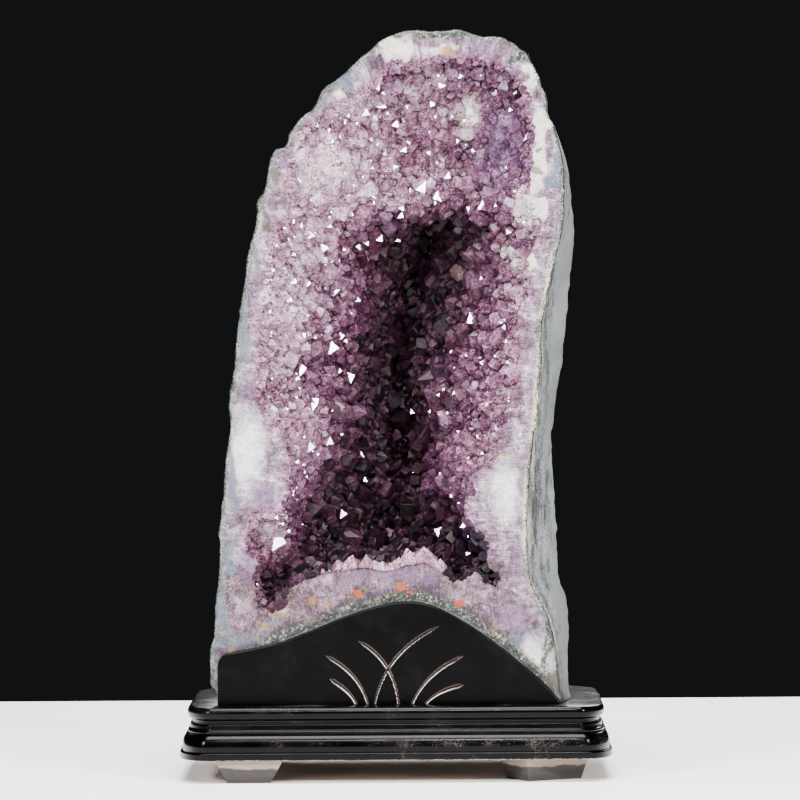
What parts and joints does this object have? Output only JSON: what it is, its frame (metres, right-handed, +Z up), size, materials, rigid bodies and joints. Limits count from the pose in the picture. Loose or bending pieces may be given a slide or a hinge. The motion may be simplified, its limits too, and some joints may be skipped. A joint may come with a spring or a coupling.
{
  "type": "amethyst cathedral geode on a stand",
  "caption": "Tall cut geode lined with amethyst crystals, standing on a black lacquered moulded plinth behind a carved board.",
  "frame": {"origin": "on the floor under the middle of the plinth", "axes": "+X to the viewer's right, +Y to the back, +Z up; the cut face of the geode faces -Y"},
  "size_m": [0.45, 0.306, 0.7811],
  "materials": {
    "stone": "matt, smooth grey outside and a polished cut rim",
    "crystal": "glassy crystal faces, milky towards the rim",
    "lacquer": "black gloss lacquer on wood, scuffed at the edges",
    "wood": "bare sawn wood, stained grey below"
  },
  "bodies": {
    "root": {"geode_shell": "stone", "amethyst_crust": "crystal", "front_board": "lacquer", "plinth": "lacquer", "foot_front_left": "wood", "foot_front_right": "wood", "foot_back_left": "wood", "foot_back_right": "wood"}
  },
  "joints": []
}
